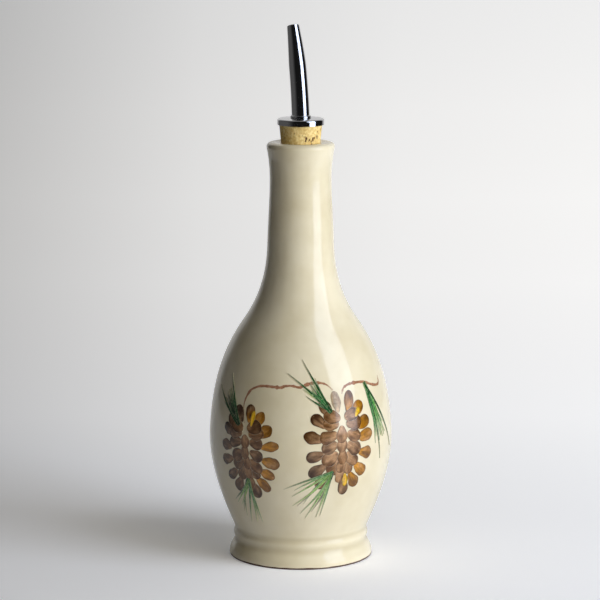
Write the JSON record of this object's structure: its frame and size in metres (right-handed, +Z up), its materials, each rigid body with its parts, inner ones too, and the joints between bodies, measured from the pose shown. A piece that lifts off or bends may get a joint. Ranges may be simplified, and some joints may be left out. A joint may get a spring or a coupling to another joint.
{
  "type": "drizzle bottle",
  "caption": "Glazed stoneware oil bottle with a turned foot, an egg-shaped body and a slim neck, closed by a cork with a metal cap and a bent pouring spout.",
  "frame": {"origin": "on the surface it stands on, at the bottle's axis", "axes": "+Z up along the bottle's axis; the spout leans towards +Y and a little towards -X"},
  "size_m": [0.0912, 0.0912, 0.2654],
  "materials": {
    "glaze": "glossy cream glaze over stoneware",
    "cork": "bare natural cork",
    "plated_metal": "polished plate"
  },
  "bodies": {
    "root": {"bottle": "glaze", "cork": "cork", "spout_cap": "plated_metal", "spout": "plated_metal", "stem": "plated_metal"}
  },
  "joints": []
}
